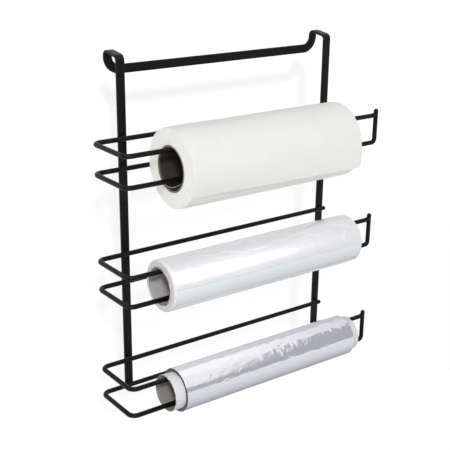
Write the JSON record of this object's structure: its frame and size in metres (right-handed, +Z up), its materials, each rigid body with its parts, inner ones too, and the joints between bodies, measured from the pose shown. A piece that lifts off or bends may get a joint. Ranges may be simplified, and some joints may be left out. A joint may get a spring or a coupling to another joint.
{
  "type": "cabinet door roll holder",
  "caption": "Bent steel strip rack that hooks over a cabinet door, with open wire arms that carry spinning rolls of kitchen paper, cling film and foil.",
  "frame": {"origin": "midway between the two uprights, on the back face of the uprights where the door's front face lies, level with the middle of the hooks' undersides, which rise 2 mm to the rear over the door's top edge", "axes": "+Z up, +X along the rolls towards the end stops, which is the viewer's right, +Y into the door, so the rolls hang at -Y"},
  "size_m": [0.3363, 0.137, 0.3803],
  "materials": {
    "black_coat": "satin black powder coat on steel",
    "brown_card": "matt brown wound cardboard",
    "white_paper": "matt embossed kitchen paper",
    "grey_card": "matt grey-brown wound cardboard",
    "clear_film": "glossy milky cling film",
    "white_card": "matt grey-white wound cardboard",
    "bright_foil": "bright, slightly crumpled foil"
  },
  "bodies": {
    "rack": {"strip_frame": "black_coat", "wire_top_upper": "black_coat", "wire_top_lower": "black_coat", "wire_middle_upper": "black_coat", "wire_middle_lower": "black_coat", "wire_bottom_upper": "black_coat", "wire_bottom_lower": "black_coat"},
    "paper_roll": {"paper_core": "brown_card", "paper_winding": "white_paper"},
    "film_roll": {"film_core": "grey_card", "film_winding": "clear_film"},
    "foil_roll": {"foil_core": "white_card", "foil_winding": "bright_foil"}
  },
  "joints": [
    {"name": "paper_roll_spin", "type": "hinge", "parent": "rack", "child": "paper_roll", "pos_m": [-0.012, -0.0688, -0.1029], "axis": [1, 0, 0], "continuous": true},
    {"name": "film_roll_spin", "type": "hinge", "parent": "rack", "child": "film_roll", "pos_m": [-0.0068, -0.0688, -0.2254], "axis": [1, 0, 0], "continuous": true},
    {"name": "foil_roll_spin", "type": "hinge", "parent": "rack", "child": "foil_roll", "pos_m": [0.001, -0.0688, -0.3516], "axis": [1, 0, 0], "continuous": true}
  ]
}
